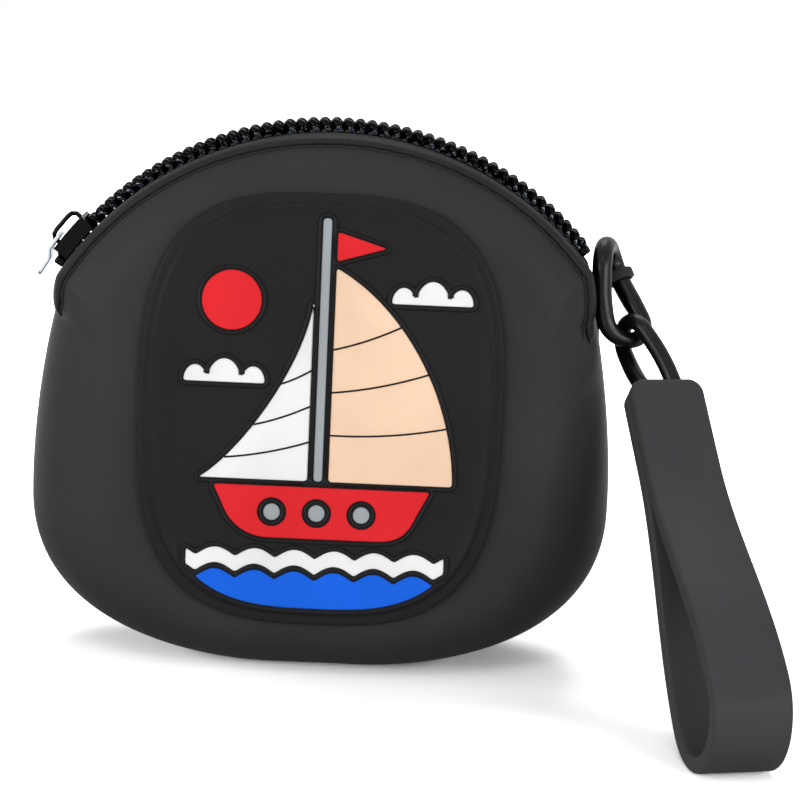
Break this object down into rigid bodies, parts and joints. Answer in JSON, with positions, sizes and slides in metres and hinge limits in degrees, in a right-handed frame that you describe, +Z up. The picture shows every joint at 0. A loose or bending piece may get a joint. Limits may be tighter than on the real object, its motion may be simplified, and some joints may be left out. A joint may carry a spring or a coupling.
{
  "type": "zip pouch",
  "caption": "Small moulded silicone zip pouch with a raised rubber picture patch on the front, and a looped wrist strap on two twisted metal links.",
  "frame": {"origin": "middle of the flat base, on the table", "axes": "+Z up, the front with its patch faces -Y, the wrist strap hangs at +X"},
  "size_m": [0.1505, 0.0963, 0.1132],
  "materials": {
    "body_silicone": "matte",
    "band_silicone": "matte",
    "strap_silicone": "satin",
    "seam_thread": "matte",
    "zip_tape": "woven",
    "zip_coil": "gloss",
    "black_metal": "satin black",
    "pull_metal": "satin",
    "patch_rubber": "matte",
    "inlay_red": "satin",
    "inlay_peach": "satin",
    "inlay_white": "satin",
    "inlay_grey": "satin",
    "inlay_blue": "satin"
  },
  "bodies": {
    "pouch": {"back_coil": "zip_coil", "back_seam_thread": "seam_thread", "back_tape": "zip_tape", "back_zip_band": "band_silicone", "body_shell": "body_silicone", "bottom_stop": "black_metal", "cloud_inlay_1": "inlay_white", "cloud_inlay_2": "inlay_white", "foam_inlay": "inlay_white", "front_coil": "zip_coil", "front_seam_thread": "seam_thread", "front_tape": "zip_tape", "front_zip_band": "band_silicone", "hull_inlay": "inlay_red", "jib_inlay": "inlay_white", "mainsail_inlay": "inlay_peach", "mast_inlay": "inlay_grey", "patch_base": "patch_rubber", "pennant_inlay": "inlay_red", "porthole_inlay_1": "inlay_grey", "porthole_inlay_2": "inlay_grey", "porthole_inlay_3": "inlay_grey", "sea_inlay": "inlay_blue", "side_lug": "body_silicone", "sun_inlay": "inlay_red", "top_stop_back": "black_metal", "top_stop_front": "black_metal"},
    "slider": {"slider_body": "black_metal"},
    "pull": {"pull_tab": "pull_metal"},
    "link": {"body_link": "black_metal"},
    "strap": {"strap_link": "black_metal", "wrist_strap": "strap_silicone"}
  },
  "joints": [
    {"name": "slider_travel", "type": "hinge", "parent": "pouch", "child": "slider", "pos_m": [0.0012, 0, 0.0442], "axis": [0, 1, 0], "range_deg": [0, 94]},
    {"name": "pull_swing", "type": "hinge", "parent": "slider", "child": "pull", "pos_m": [-0.05537, 0, 0.08669], "axis": [0, 1, 0], "range_deg": [0, 130]},
    {"name": "link_swing", "type": "hinge", "parent": "pouch", "child": "link", "pos_m": [0.06021, 0.00455, 0.082], "axis": [-0.4111, 0.3855, 0.8261], "range_deg": [0, 90]},
    {"name": "strap_swing", "type": "hinge", "parent": "link", "child": "strap", "pos_m": [0.06311, -0.00352, 0.07067], "axis": [0.8474, 0.5198, 0.108], "range_deg": [-75, 20]}
  ]
}
